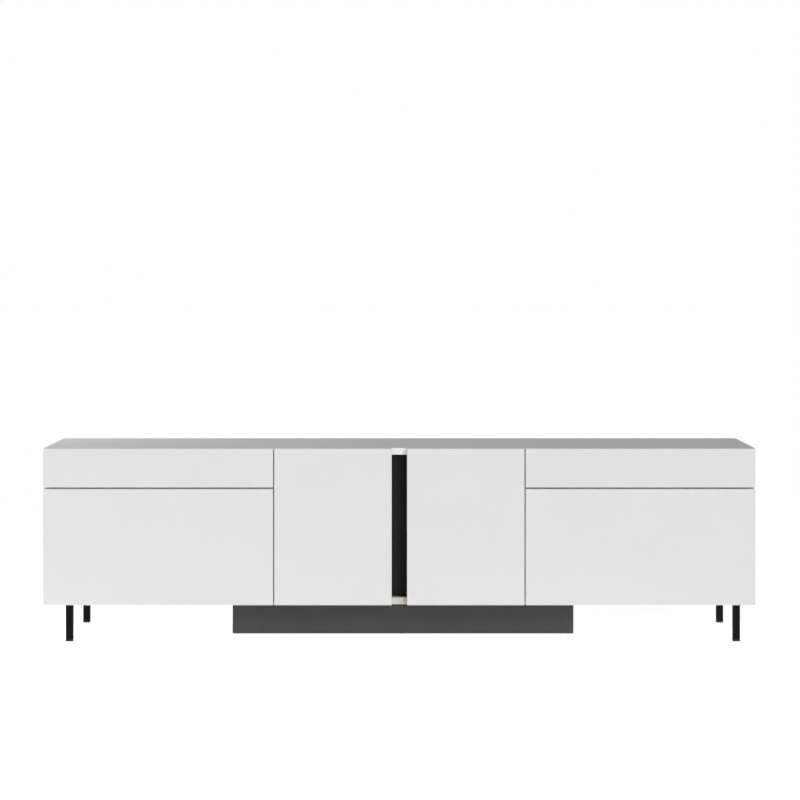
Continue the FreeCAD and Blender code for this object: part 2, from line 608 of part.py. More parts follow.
brackets = []
for name, side in SIDES:
    head = rod(layer(side, 1.3, HEAD_THICK + 0.1), elbow.y, elbow.z, HEAD_RADIUS, HEAD_THICK + 0.1, "x")
    node(f"stay_{name}_upper_arm", stay_arm(side, UPPER_IN, pivot, elbow, [head], f"upper_arm_{name}"))
    head = rod(layer(side, LOWER_IN + d.stay_thick, HEAD_THICK), elbow.y, elbow.z, HEAD_RADIUS,
               HEAD_THICK, "x")
    node(f"stay_{name}_lower_arm", stay_arm(side, LOWER_IN, foot_pivot, elbow, [head], f"lower_arm_{name}"))
    plate = block(layer(side, 0, PLATE_THICK), pivot.y - 14, pivot.z - 20, PLATE_THICK, 28, 40)
    stud = rod(layer(side, 0, 5), pivot.y, pivot.z, "stay_pin", 5, "x")
    cap = rod(layer(side, UPPER_IN + d.stay_thick + 0.15, HEAD_THICK), pivot.y, pivot.z, HEAD_RADIUS,
              HEAD_THICK, "x")
    stud_on = rod(layer(side, 4, UPPER_IN + d.stay_thick + 0.3 - 4), pivot.y, pivot.z, "stay_pin",
                  UPPER_IN + d.stay_thick + 0.3 - 4, "x")
    brackets.append(fused([plate, stud, stud_on, cap], f"stay_bracket_{name}"))
    # The foot on the flap: a lug that carries the lower arm's pin, on a base screwed to the board.
    back_face = -d.depth / 2 + d.front_thick
    lug = block(layer(side, FOOT_IN, 2), back_face, foot_pivot.z - 8, 2, foot_pivot.y - back_face + 6, 16)
    base = block(layer(side, FOOT_IN, 20), back_face, foot_pivot.z - 20, 20, 2, 40)
    pin = rod(layer(side, LOWER_IN - 0.15, FOOT_IN + 2 - LOWER_IN), foot_pivot.y, foot_pivot.z, "stay_pin",
              FOOT_IN + 2 - LOWER_IN, "x")
    cap = rod(layer(side, LOWER_IN - 0.15 - 0.25, 0.25), foot_pivot.y, foot_pivot.z, 4, 0.25, "x")
    foot = fused([lug, base, pin, cap], f"stay_foot_{name}")
    doc.recompute()
    cups = []
    for place in hinge_spots["flap", name]:
        shape = cup.Shape.copy()
        shape.Placement = place.multiply(shape.Placement)
        cups.append(shape)
    fittings = doc.addObject("Part::Feature", f"flap_{name}_fittings")
    fittings.Shape = Part.makeCompound([*cups, foot.Shape.copy()])
    node(f"flap_{name}_fittings", fittings)
node("stay_brackets", together(brackets))

# ---------------------------------------------------------------- drawers
# Boxes of four thin boards on three-part ball runners, one pair to each drawer.

MEMBERS = {    # distance of the web from the board face, its thickness, half height, flange start and end
    "cabinet": (0, 1.2, 17.5, 0, 9), "middle": (3, 1.2, 13.5, 3, 10.5), "drawer": (11.8, 1.2, 10.5, 5.5, 13),
}
FLANGE = 1.2
RUNNER_START = "(-depth/2 + runner_front_in)"


def channel_member(kind, inner_face, towards):
    """One C-shaped member against a face at |x|; towards is +1 if the drawer lies towards +x."""
    web, thick, tall, near, far = MEMBERS[kind]

    def span(start, end):
        return inner_face + start if towards > 0 else inner_face - end

    pieces = [block(span(web, web + thick), RUNNER_START, f"runner_height - {tall}", thick, "runner_length",
                    2 * tall)]
    for z in (tall - FLANGE, -tall):
        pieces.append(block(span(near, far), RUNNER_START, f"runner_height + ({z})", far - near,
                            "runner_length", FLANGE))
    return fused(pieces, f"{kind}_member")


cabinet_members = []
for name, side in SIDES:
    outer_face, inner_face = side * (d.width / 2 - d.panel), side * (d.seam + d.panel / 2)
    faces = ((outer_face, -side), (inner_face, side))
    cabinet_members += [channel_member("cabinet", face, towards) for face, towards in faces]
    node(f"runner_{name}_middle_members", together([channel_member("middle", *f) for f in faces]))
    node(f"runner_{name}_drawer_members", together([channel_member("drawer", *f) for f in faces]))
    near, far = f"{DIVIDER_OUT} + runner_space", f"{SIDE_FACE} - runner_space"
    start = "-depth/2 + front_thick"
    walls = [
        mirrored(side, f"{far} - box_wall", far, start, "box_base", "box_length", "box_height"),
        mirrored(side, near, f"{near} + box_wall", start, "box_base", "box_length", "box_height"),
        mirrored(side, f"{near} + box_wall", f"{far} - box_wall", f"{start} + box_length - box_wall",
                 "box_base", "box_wall", "box_height"),
        mirrored(side, f"{near} + box_wall", f"{far} - box_wall", start, "box_base + box_bottom_up",
                 "box_length - box_wall", "box_bottom_thick"),
    ]
    node(f"drawer_{name}_box", together(walls))
node("runner_cabinet_members", together(cabinet_members))

# ---------------------------------------------------------------- push latches
# A sprung plunger in a housing under each drawer shelf pushes the flap open when it is pressed.

LATCH_TOP = f"({SEAM_HEIGHT} - panel/2)"
housings = []
for name, side in SIDES:
    x = f"{side}*(seam + width/2)/2"
    z = f"{LATCH_TOP} - latch_size/2"
    case = block(f"{x} - latch_size/2", f"{FRONT} + 2", f"{LATCH_TOP} - latch_size", "latch_size",
                 "latch_length", "latch_size")
    bore = rod(x, f"{FRONT} + 1", z, "plunger_bore", "latch_length - 3", "y")
    housings.append(cut(case, [bore], f"latch_housing_{name}"))
    node(f"latch_{name}_plunger", rod(x, "-depth/2 + front_thick + 0.4", z, "plunger_radius",
                                      "plunger_length", "y"))
node("latch_housings", together(housings))

# ---------------------------------------------------------------- checks and export

doc.recompute()
for thing in doc.Objects:
    if "Invalid" in thing.State or "Error" in thing.State:
        raise SystemExit(f"{thing.Label} failed to build: {thing.State}")
for label, thing in nodes.items():
    if thing.Shape.isNull() or not thing.Shape.isValid() or not thing.Shape.Solids:
        raise SystemExit(f"{label} has no valid shape")
os.makedirs("parts", exist_ok=True)
for label, thing in nodes.items():
    thing.Shape.exportStep(f"parts/{label}.step")
print(len(nodes), "nodes written")
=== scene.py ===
import math

import bpy
import numpy as np
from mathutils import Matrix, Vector


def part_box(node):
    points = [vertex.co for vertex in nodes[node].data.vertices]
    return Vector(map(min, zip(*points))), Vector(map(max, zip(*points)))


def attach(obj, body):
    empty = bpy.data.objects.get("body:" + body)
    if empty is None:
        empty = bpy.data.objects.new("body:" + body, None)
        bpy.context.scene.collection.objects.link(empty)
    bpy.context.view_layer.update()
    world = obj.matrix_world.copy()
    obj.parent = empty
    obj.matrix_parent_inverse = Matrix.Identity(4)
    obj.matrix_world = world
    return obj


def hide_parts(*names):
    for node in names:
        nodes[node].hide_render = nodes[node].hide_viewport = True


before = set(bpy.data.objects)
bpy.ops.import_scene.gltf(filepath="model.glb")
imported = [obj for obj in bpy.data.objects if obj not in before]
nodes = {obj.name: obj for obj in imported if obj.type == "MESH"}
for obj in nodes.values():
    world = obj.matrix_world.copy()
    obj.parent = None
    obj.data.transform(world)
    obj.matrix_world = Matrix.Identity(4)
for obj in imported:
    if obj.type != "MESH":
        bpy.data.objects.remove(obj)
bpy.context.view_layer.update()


# ---------------------------------------------------------------- camera
# A long lens at seated eye height in front of the cabinet, level, so its uprights stay upright.
# The small shift brings the low cabinet into the lower half of the frame.
camera = bpy.data.objects.new("camera", bpy.data.cameras.new("camera"))
bpy.context.collection.objects.link(camera)
camera.location = (0.0243, -6.69, 1.0405)
camera.rotation_euler = (math.radians(90), 0, 0)
camera.data.lens = 104.04
camera.data.sensor_width = 36
camera.data.shift_x = -0.01
camera.data.shift_y = -0.16
camera.data.clip_end = 200
bpy.context.scene.camera = camera


# ---------------------------------------------------------------- studio
# A white room: a surround that is bright at the horizon and dimmer overhead, a soft key lamp high at the
# front right, a small lamp behind the left end, and a white floor that glows a little, as a lit sweep does.
bpy.context.scene.view_settings.view_transform = "Standard"

surround = bpy.data.worlds.new("surround")
bpy.context.scene.world = surround
surround.use_nodes = True
tree = surround.node_tree
tree.nodes.clear()
output = tree.nodes.new("ShaderNodeOutputWorld")
seen = tree.nodes.new("ShaderNodeBackground")
seen.inputs["Color"].default_value = (1, 1, 1, 1)
seen.inputs["Strength"].default_value = 1.0
felt = tree.nodes.new("ShaderNodeBackground")
felt.inputs["Color"].default_value = (1, 1, 1, 1)
heading = tree.nodes.new("ShaderNodeSeparateXYZ")
dimming = tree.nodes.new("ShaderNodeMapRange")
dimming.inputs["To Min"].default_value = 0.5
dimming.inputs["To Max"].default_value = 0.2
tree.links.new(tree.nodes.new("ShaderNodeTexCoord").outputs["Generated"], heading.inputs["Vector"])
tree.links.new(heading.outputs["Z"], dimming.inputs["Value"])
tree.links.new(dimming.outputs["Result"], felt.inputs["Strength"])
choose = tree.nodes.new("ShaderNodeMixShader")
path = tree.nodes.new("ShaderNodeLightPath")
tree.links.new(path.outputs["Is Camera Ray"], choose.inputs["Fac"])
tree.links.new(felt.outputs["Background"], choose.inputs[1])
tree.links.new(seen.outputs["Background"], choose.inputs[2])
tree.links.new(choose.outputs["Shader"], output.inputs["Surface"])

key = bpy.data.objects.new("key_lamp", bpy.data.lights.new("key_lamp", "SUN"))
bpy.context.collection.objects.link(key)
key.data.energy = 1.0
key.data.angle = math.radians(14)
key.rotation_euler = Vector((-0.52, 1.0, -0.42)).to_track_quat("-Z", "Y").to_euler()

top_lamp = bpy.data.objects.new("top_lamp", bpy.data.lights.new("top_lamp", "AREA"))
bpy.context.collection.objects.link(top_lamp)
top_lamp.data.energy = 11.5
top_lamp.data.size = 0.8
top_lamp.location = (-1.8, 0.8, 1.3)
top_lamp.rotation_euler = Vector((0.8, -0.8, -0.75)).to_track_quat("-Z", "Y").to_euler()

floor_mesh = bpy.data.meshes.new("floor")
reach = 60.0
floor_mesh.from_pydata([(-reach, -reach, 0), (reach, -reach, 0), (reach, reach, 0), (-reach, reach, 0)],
                       [], [(0, 1, 2, 3)])
floor = bpy.data.objects.new("floor", floor_mesh)
bpy.context.collection.objects.link(floor)
paper = bpy.data.materials.new("paper_sweep")
paper.use_nodes = True
sweep = paper.node_tree.nodes["Principled BSDF"]
sweep.inputs["Base Color"].default_value = (0.92, 0.92, 0.92, 1)
sweep.inputs["Roughness"].default_value = 0.9
sweep.inputs["Emission Color"].default_value = (1, 1, 1, 1)
sweep.inputs["Emission Strength"].default_value = 0.62
floor_mesh.materials.append(paper)


# ---------------------------------------------------------------- carcass boards
# Side boards and top: faced board sprayed in matt white lacquer, with a very fine orange peel. The boards
# butt together and are held by cam locks.

def surface(name, colour, roughness, metallic=0.0, specular=0.5):
    """A new material with one Principled shader, returned with its tree, shader and Object coordinates."""
    finish = bpy.data.materials.new(name)
    finish.use_nodes = True
    tree = finish.node_tree
    shader = tree.nodes["Principled BSDF"]
    shader.inputs["Base Color"].default_value = (*colour, 1)
    shader.inputs["Roughness"].default_value = roughness
    shader.inputs["Metallic"].default_value = metallic
    shader.inputs["Specular IOR Level"].default_value = specular
    place = tree.nodes.new("ShaderNodeTexCoord").outputs["Object"]
    return finish, tree, shader, place


def mottle(tree, place, scale, detail=3.0):
    """Soft noise over the surface, from 0 to 1."""
    noise = tree.nodes.new("ShaderNodeTexNoise")
    noise.inputs["Scale"].default_value = scale
    noise.inputs["Detail"].default_value = detail
    tree.links.new(place, noise.inputs["Vector"])
    return noise.outputs["Fac"]


def uneven_sheen(tree, shader, amount, low, high):
    """Lets the roughness wander between low and high with noise of about 0.3 to 0.7."""
    spread = tree.nodes.new("ShaderNodeMapRange")
    spread.inputs["From Min"].default_value = 0.3
    spread.inputs["From Max"].default_value = 0.7
    spread.inputs["To Min"].default_value = low
    spread.inputs["To Max"].default_value = high
    tree.links.new(amount, spread.inputs["Value"])
    tree.links.new(spread.outputs["Result"], shader.inputs["Roughness"])


def tinted(tree, shader, amount, dark, light):
    """Lets the base colour wander between two near colours."""
    ramp = tree.nodes.new("ShaderNodeValToRGB")
    ramp.color_ramp.elements[0].position = 0.3
    ramp.color_ramp.elements[0].color = (*dark, 1)
    ramp.color_ramp.elements[1].position = 0.7
    ramp.color_ramp.elements[1].color = (*light, 1)
    tree.links.new(amount, ramp.inputs["Fac"])
    tree.links.new(ramp.outputs["Color"], shader.inputs["Base Color"])


def embossed(tree, shader, amount, depth):
    """Raises the surface by noise, to a depth in metres."""
    bump = tree.nodes.new("ShaderNodeBump")
    bump.inputs["Strength"].default_value = 1.0
    bump.inputs["Distance"].default_value = depth
    tree.links.new(amount, bump.inputs["Height"])
    tree.links.new(bump.outputs["Normal"], shader.inputs["Normal"])


def lacquer(name, grey, roughness):
    """Sprayed lacquer: even colour, a fine orange peel and a sheen that varies slowly."""
    finish, tree, shader, place = surface(name, (grey, grey, grey), roughness)
    tinted(tree, shader, mottle(tree, place, 5.0), (grey * 0.985,) * 3, (grey, grey, grey))
    uneven_sheen(tree, shader, mottle(tree, place, 9.0), roughness - 0.04, roughness + 0.05)
    embossed(tree, shader, mottle(tree, place, 420.0, 2.0), 0.00003)
    return finish


def coat(finish, *names):
    """Gives a finish to carried-over pieces."""
    for name in names:
        slots = nodes[name].data.materials
        slots.clear()
        slots.append(finish)


white_lacquer = lacquer("white_lacquer", 0.775, 0.42)
coat(white_lacquer, "side_panel_left", "side_panel_right", "top_panel")


# ---------------------------------------------------------------- inside boards
# Dividers, drawer shelves and the bottom board: chipboard with a pressed white resin face, which has a
# dull pearled texture. They fit between the side boards, under the top.

def melamine(name, colour, roughness):
    """A pressed resin face: a fine pearl texture and a faint cloud in the colour."""
    finish, tree, shader, place = surface(name, colour, roughness)
    tinted(tree, shader, mottle(tree, place, 14.0), tuple(0.975 * c for c in colour), colour)
    pearl = tree.nodes.new("ShaderNodeTexVoronoi")
    pearl.feature = "SMOOTH_F1"
    pearl.inputs["Scale"].default_value = 700.0
    tree.links.new(place, pearl.inputs["Vector"])
    embossed(tree, shader, pearl.outputs["Distance"], 0.00004)
    return finish


white_melamine = melamine("white_melamine", (0.79, 0.79, 0.78), 0.5)
inner_boards = [f"{board}_{side}" for board in ("divider", "drawer_shelf") for side in ("left", "right")]
coat(white_melamine, "bottom_panel", *inner_boards)


# ---------------------------------------------------------------- edge bands
# Plastic strips glued to the front edges of the boards. The top board's is a brighter white; the bottom
# board's is beige, its tone drifting in broad waves between greyish beige and darker tan, and shows below
# the grip.

def carried(outline, start, end):
    """A closed outline in x and y, which runs anticlockwise, carried straight along z between two heights,
    with a flat face at each end."""
    count = len(outline)
    rings = [np.column_stack([outline, np.full(count, height)]) for height in (start, end)]
    lower = np.arange(count)
    upper = lower + count
    sides = np.stack([lower, np.roll(lower, -1), np.roll(upper, -1), upper], axis=-1).tolist()
    return np.concatenate(rings), sides + [lower[::-1].tolist(), upper.tolist()]


band_rise, band_inset = 0.0004, 0.0002


def edge_strip(board):
    """A strip on the front edge of a board. Its outline across the edge's narrow way is a flat arch, whose
    rise is the tenth root of one less the tenth power of the distance from the middle."""
    low, high = (np.array(corner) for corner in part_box(board))
    middle, half = (low + high) / 2, (high - low) / 2 - band_inset
    upright = half[2] > half[0]
    narrow, wide = (half[0], half[2]) if upright else (half[2], half[0])
    across = np.sin(np.linspace(-math.pi / 2, math.pi / 2, 15))
    rise = band_rise * np.clip(1 - across ** 10, 0, 1) ** 0.1
    points, faces = carried(np.column_stack([narrow * across, -rise]), -wide, wide)
    if not upright:
        points = points[:, [2, 1, 0]] * (1, 1, -1)
    return points + (middle[0], low[1], middle[2]), faces


def joined(shapes):
    """Several shapes as one."""
    starts = np.cumsum([0] + [len(points) for points, _ in shapes[:-1]])
    faces = [[int(corner) + int(start) for corner in face] for (_, faces), start in zip(shapes, starts)
             for face in faces]
    return np.concatenate([points for points, _ in shapes]), faces


def piece(name, shape, finish, body, sharp=35):
    """Puts a shape in the scene as one object that rides on a body."""
    points, faces = shape
    mesh = bpy.data.meshes.new(name)
    mesh.from_pydata(points.tolist(), [], faces)
    mesh.shade_smooth()
    mesh.set_sharp_from_angle(angle=math.radians(sharp))
    mesh.materials.append(finish)
    made = bpy.data.objects.new(name, mesh)
    bpy.context.collection.objects.link(made)
    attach(made, body)
    return made


def edging(name, colour, roughness):
    """Extruded plastic edging: a faint ripple along it and a slightly uneven sheen."""
    finish, tree, shader, place = surface(name, colour, roughness)
    uneven_sheen(tree, shader, mottle(tree, place, 30.0), roughness - 0.06, roughness + 0.06)
    embossed(tree, shader, mottle(tree, place, 260.0, 2.0), 0.00002)
    return finish, tree, shader, place


bright = edging("bright_edging", (0.93, 0.93, 0.935), 0.3)[0]
piece("top_edge_band", edge_strip("top_panel"), bright, "carcass")

white = edging("white_edging", (0.80, 0.80, 0.79), 0.38)[0]
banded = ["side_panel_left", "side_panel_right", *inner_boards, "centre_shelf"]
piece("board_edge_bands", joined([edge_strip(board) for board in banded]), white, "carcass")

beige, tree, shader, place = edging("beige_edging", (0.6, 0.55, 0.5), 0.42)
# The waves are placed so that below the grip the band's left part is greyish beige and its right part
# darker tan.
drift = tree.nodes.new("ShaderNodeTexWave")
drift.inputs["Scale"].default_value = 1.4
drift.inputs["Distortion"].default_value = 0.6
drift.inputs["Phase Offset"].default_value = math.pi / 2
tree.links.new(place, drift.inputs["Vector"])
tinted(tree, shader, drift.outputs["Fac"], (0.65, 0.62, 0.59), (0.59, 0.51, 0.41))
piece("bottom_edge_band", edge_strip("bottom_panel"), beige, "carcass")


# ---------------------------------------------------------------- cam locks
# Zinc castings let into the uprights, low and high, and turned with a screwdriver to draw each joint
# tight. Each has a cross recess in its face.

def plated(name, colour, roughness, cloud):
    """Plated steel: a metal whose brightness and sheen vary in clouds of a few millimetres."""
    finish, tree, shader, place = surface(name, colour, roughness, metallic=1.0)
    tinted(tree, shader, mottle(tree, place, cloud), tuple(0.86 * c for c in colour), colour)
    uneven_sheen(tree, shader, mottle(tree, place, cloud * 3), roughness - 0.08, roughness + 0.1)
    embossed(tree, shader, mottle(tree, place, 900.0, 2.0), 0.00001)
    return finish


def cross_head(radius, dome, width, arm, recess, skirt):
    """A round head facing +z. A square grid of lines is drawn out to a disc, each point by the root of one
    less half the other coordinate's square. Its height is a shallow dome less a cross-shaped recess with
    steep walls. A skirt runs down from the rim and a flat closes it."""
    steep = 0.2 * width
    marks = np.array([width / 2 - steep, width / 2, arm, arm + steep, radius]) / radius
    marks = np.concatenate([-marks[::-1], marks])
    u, v = np.meshgrid(marks, marks)
    near_axis = [np.clip((width / 2 / radius - np.abs(t)) / (steep / radius), 0, 1) for t in (u, v)]
    within_arm = [np.clip(((arm + steep) / radius - np.abs(t)) / (steep / radius), 0, 1) for t in (u, v)]
    cross = np.maximum(near_axis[0] * within_arm[1], near_axis[1] * within_arm[0])
    x = radius * u * np.sqrt(1 - v * v / 2)
    y = radius * v * np.sqrt(1 - u * u / 2)
    z = dome * (1 - (x * x + y * y) / radius ** 2) - recess * cross
    top = np.stack([x, y, z], axis=-1).reshape(-1, 3)
    index = np.arange(len(top)).reshape(u.shape)
    quads = np.stack([index[:-1, :-1], index[:-1, 1:], index[1:, 1:], index[1:, :-1]], axis=-1)
    quads = quads.reshape(-1, 4)
    rim = np.concatenate([index[0, :-1], index[:-1, -1], index[-1, :0:-1], index[:0:-1, 0]])
    foot = top[rim] * (1, 1, 0) - (0, 0, skirt)
    low = len(top) + np.arange(len(rim))
    walls = np.stack([low, np.roll(low, -1), np.roll(rim, -1), rim], axis=-1)
    return np.concatenate([top, foot]), quads.tolist() + walls.tolist() + [low[::-1].tolist()]


def set_at(shape, spots):
    """Copies of a shape, one for each spot and outward direction: its z is turned to that direction."""
    points, faces = shape
    where = np.array([spot for spot, _ in spots], float)
    out = np.array([direction for _, direction in spots], float)
    reference = np.where(np.abs(out[:, 2:]) > 0.9, (1.0, 0.0, 0.0), (0.0, 0.0, 1.0))
    right = np.cross(reference, out)
    up = np.cross(out, right)
    frames = np.stack([right, up, out], axis=1)
    copies = points[None] @ frames + where[:, None]
    numbered = [[corner + k * len(points) for corner in face] for k in range(len(spots)) for face in faces]
    return copies.reshape(-1, 3), numbered


zinc = plated("zinc_plate", (0.52, 0.535, 0.56), 0.36, 90.0)
cam_face = cross_head(radius=0.0074, dome=0.0, width=0.0022, arm=0.0042, recess=0.0024, skirt=0.006)
side_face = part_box("side_panel_right")[0][0]
divider_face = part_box("divider_right")[1][0]
cam_rows, cam_heights = (-0.07, 0.1), (0.158, 0.506)
cam_spots = [((side * x, y, z), (side * outward, 0, 0))
             for side in (-1, 1) for x, outward in ((side_face, -1), (divider_face, 1))
             for y in cam_rows for z in cam_heights]
cams = piece("cam_faces", set_at(cam_face, cam_spots), zinc, "carcass")
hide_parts("cam_locks")


# ---------------------------------------------------------------- back boards
# Three thin faced boards, one behind each bay. They lie in a rebate round the carcass and are fixed from
# behind with cross-head screws.
back_face = melamine("back_face", (0.72, 0.715, 0.70), 0.6)
coat(back_face, *(f"back_board_{bay}" for bay in ("left", "centre", "right")))

back_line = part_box("back_board_left")[1][1]
low_row, high_row = 0.1195, 0.5305
side_rows = (low_row + 0.11, high_row - 0.11)
seam, outer_edge = 0.353, 0.9895
side_columns = (outer_edge - 0.004, seam + 0.005)
columns = []
for near, far in ((-outer_edge, -seam), (-seam, seam), (seam, outer_edge)):
    inset = (far - near) / 12
    columns += [float(x) for x in np.linspace(near + inset, far - inset, 4)]
back_points = [(x, z) for x in columns for z in (low_row, high_row)]
back_points += [(side * x, z) for side in (-1, 1) for x in side_columns for z in side_rows]
back_spots = [((x, back_line + 0.0002, z), (0, 1, 0)) for x, z in back_points]
back_head = cross_head(radius=0.0034, dome=0.0007, width=0.0009, arm=0.0016, recess=0.0009, skirt=0.0012)
back_heads = piece("back_screw_heads", set_at(back_head, back_spots), zinc, "carcass")
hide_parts("back_screws")


# ---------------------------------------------------------------- cable grommets
# A black plastic sleeve in each outlet. A ring of nylon bristles lets cables through and hides the hole.

def moulded(name, colour, roughness, grain):
    """Moulded plastic: a fine grain from the tool and a slightly uneven sheen."""
    finish, tree, shader, place = surface(name, colour, roughness, specular=0.35)
    uneven_sheen(tree, shader, mottle(tree, place, 45.0), roughness - 0.05, roughness + 0.06)
    embossed(tree, shader, mottle(tree, place, grain, 2.0), 0.00004)
    return finish


black_plastic = moulded("black_plastic", (0.02, 0.02, 0.02), 0.5, 1400.0)
coat(black_plastic, "cable_grommets")


def bristle_ring(centre, bore, count, seed):
    """Bristles round a bore: each is a thin three-sided spike from the wall to near the middle, with its
    angle, length and depth drawn at random and the same small droop at its tip."""
    draw = np.random.default_rng(seed)
    angle = 2 * math.pi * (np.arange(count) + draw.uniform(-0.4, 0.4, count)) / count
    reach = draw.uniform(0.0015, 0.006, count)
    depth = draw.uniform(-0.0016, 0.0016, count)
    radial = np.stack([np.cos(angle), np.zeros(count), np.sin(angle)], axis=-1)
    tangent = np.stack([-np.sin(angle), np.zeros(count), np.cos(angle)], axis=-1)
    through = np.array([0.0, 1.0, 0.0])
    root = centre + radial * bore + depth[:, None] * through
    tip = centre + radial * reach[:, None] + (depth * 2.2)[:, None] * through - (0, 0, 0.0008)
    half = 0.00038
    corners = [root + tangent * half, root - tangent * half, root + through * half * 1.6]
    points = np.stack([*corners, tip], axis=1).reshape(-1, 3)
    spike = np.array([[0, 1, 2], [1, 0, 3], [2, 1, 3], [0, 2, 3]])
    faces = 4 * np.arange(count)[:, None, None] + spike
    return points, faces.reshape(-1, 3)


black_nylon = moulded("black_nylon", (0.025, 0.025, 0.027), 0.4, 600.0)
outlets, outlet_height, outlet_bore = (-0.6765, -0.18, 0.18, 0.6765), 0.24, 0.0268
rings = [bristle_ring(np.array([x, back_line - 0.006, outlet_height]), outlet_bore, 240, seed)
         for seed, x in enumerate(outlets)]
piece("grommet_brushes", joined(rings), black_nylon, "carcass", sharp=20)


# ---------------------------------------------------------------- plinth
# Four boards in dull dark grey paint, screwed to the bottom board through steel angles with cross-head
# screws. They stand on nail-on plastic glides.
coat(lacquer("plinth_paint", 0.0345, 0.62), "plinth_front", "plinth_back", "plinth_ends")
coat(zinc, "plinth_brackets")

wood_screw = cross_head(radius=0.0036, dome=0.0012, width=0.001, arm=0.0018, recess=0.0011, skirt=0.0006)
angle_low, angle_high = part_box("plinth_brackets")
half_angle, angle_wall, screw_in = 0.015, 0.0024, 0.018
angle_spots = []
for x, inward in ((angle_low[0], 1), (angle_high[0], -1)):
    for y in (angle_low[1] + half_angle, angle_high[1] - half_angle):
        angle_spots.append(((x + inward * screw_in, y, angle_high[2] - angle_wall), (0, 0, -1)))
        angle_spots.append(((x + inward * angle_wall, y, angle_high[2] - screw_in), (inward, 0, 0)))
piece("bracket_screws", set_at(wood_screw, angle_spots), zinc, "carcass")
white_plastic = moulded("white_plastic", (0.74, 0.74, 0.72), 0.42, 1100.0)
coat(white_plastic, "plinth_glides")


# ---------------------------------------------------------------- legs
# Square steel tube, welded to plates and baked in fine black powder. Each plate has four pan-head screws,
# and a plastic glide plugs each foot.

def powder_coat(name, grey):
    """Baked powder: a fine even grit with a low sheen."""
    finish, tree, shader, place = surface(name, (grey, grey * 0.97, grey * 0.9), 0.6, specular=0.1)
    uneven_sheen(tree, shader, mottle(tree, place, 60.0), 0.52, 0.66)
    embossed(tree, shader, mottle(tree, place, 1500.0, 2.0), 0.00005)
    return finish


black_powder = powder_coat("black_powder_coat", 0.005)
coat(black_powder, "legs_front", "legs_back")
coat(black_plastic, "leg_glides")

plate_thick, half_plate, half_tube = 0.003, 0.025, 0.01
front_low, front_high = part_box("legs_front")
back_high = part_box("legs_back")[1]
plate_under = front_high[2] - plate_thick
leg_spots = [(x, y, facing) for x in (front_low[0] + half_plate, front_high[0] - half_plate)
             for y, facing in ((front_low[1] + half_tube, 1), (back_high[1] - half_tube, -1))]


def weld_bead(x, y, steps=120, around=8):
    """A bead round the top of a tube: a small circle carried round a square with rounded corners, whose
    radius from the middle is its half width over the twelfth root of the sum of the twelfth powers of
    the cosine and sine. The circle swells and shrinks along its way, as runs of weld do."""
    turn = np.linspace(0, 2 * math.pi, steps, endpoint=False)
    c, s = np.cos(turn), np.sin(turn)
    radius = (half_tube + 0.0005) / (np.abs(c) ** 12 + np.abs(s) ** 12) ** (1 / 12)
    way = np.linspace(0, 2 * math.pi, around, endpoint=False)
    swell = 0.0014 + 0.00018 * np.cos(30 * turn)
    out = radius[:, None] + swell[:, None] * np.cos(way)
    height = plate_under - 0.0006 + swell[:, None] * np.sin(way)
    points = np.stack([x + out * c[:, None], y + out * s[:, None], height], axis=-1).reshape(-1, 3)
    index = np.arange(len(points)).reshape(steps, around)
    ahead, over = np.roll(index, -1, axis=0), np.roll(index, -1, axis=1)
    both = np.roll(ahead, -1, axis=1)
    return points, np.stack([index, ahead, both, over], axis=-1).reshape(-1, 4)


beads = joined([weld_bead(x, y) for x, y, _ in leg_spots])
piece("leg_welds", beads, black_powder, "carcass")

pan_head = cross_head(radius=0.0042, dome=0.001, width=0.0011, arm=0.0021, recess=0.0013, skirt=0.0012)
screw_aside, screws_along = 0.017, (0.02, 0.042)
plate_screws = [((x + side * screw_aside, y + facing * along, plate_under - 0.0012), (0, 0, -1))
                for x, y, facing in leg_spots for side in (-1, 1) for along in screws_along]
leg_heads = piece("leg_screw_heads", set_at(pan_head, plate_screws), black_powder, "carcass")
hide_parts("leg_screws")


# ---------------------------------------------------------------- grip channel
# A folded aluminium trough, anodised black, with fine lines along its length. It is held by the stile
# behind it, a faced board from bottom to top.
channel_black, tree, shader, place = surface("black_anodised", (0.029, 0.028, 0.0265), 0.6, specular=0.03)
stretched = tree.nodes.new("ShaderNodeMapping")
stretched.inputs["Scale"].default_value = (900, 900, 6)
tree.links.new(place, stretched.inputs["Vector"])
fine_lines = mottle(tree, stretched.outputs["Vector"], 1.0, 2.0)
uneven_sheen(tree, shader, fine_lines, 0.48, 0.64)
embossed(tree, shader, fine_lines, 0.00002)
coat(channel_black, "grip_channel")
coat(white_melamine, "centre_stile")


# ---------------------------------------------------------------- loose shelf
# A faced shelf that lies on four steel pins, pushed into holes in the dividers. Each pin has a collar
# that stops it at the divider's face.
coat(white_melamine, "centre_shelf")
coat(zinc, "shelf_pins")


def turned(profile, around=24):
    """A profile of radius and height, from its lower pole to its upper one, carried round the z axis."""
    profile = np.array(profile)
    turn = np.linspace(0, 2 * math.pi, around, endpoint=False)
    radius, height = profile[1:-1, :1], profile[1:-1, 1:]
    rings = np.stack([radius * np.cos(turn), radius * np.sin(turn), height + 0 * turn], axis=-1)
    poles = [(0, 0, profile[0, 1]), (0, 0, profile[-1, 1])]
    index = np.arange(rings.size // 3).reshape(-1, around)
    beside = np.roll(index, -1, axis=1)
    quads = np.stack([index[:-1], beside[:-1], beside[1:], index[1:]], axis=-1).reshape(-1, 4)
    below = np.column_stack([np.full(around, index.size), beside[0], index[0]])
    above = np.column_stack([np.full(around, index.size + 1), index[-1], beside[-1]])
    faces = quads.tolist() + below.tolist() + above.tolist()
    return np.concatenate([rings.reshape(-1, 3), poles]), faces


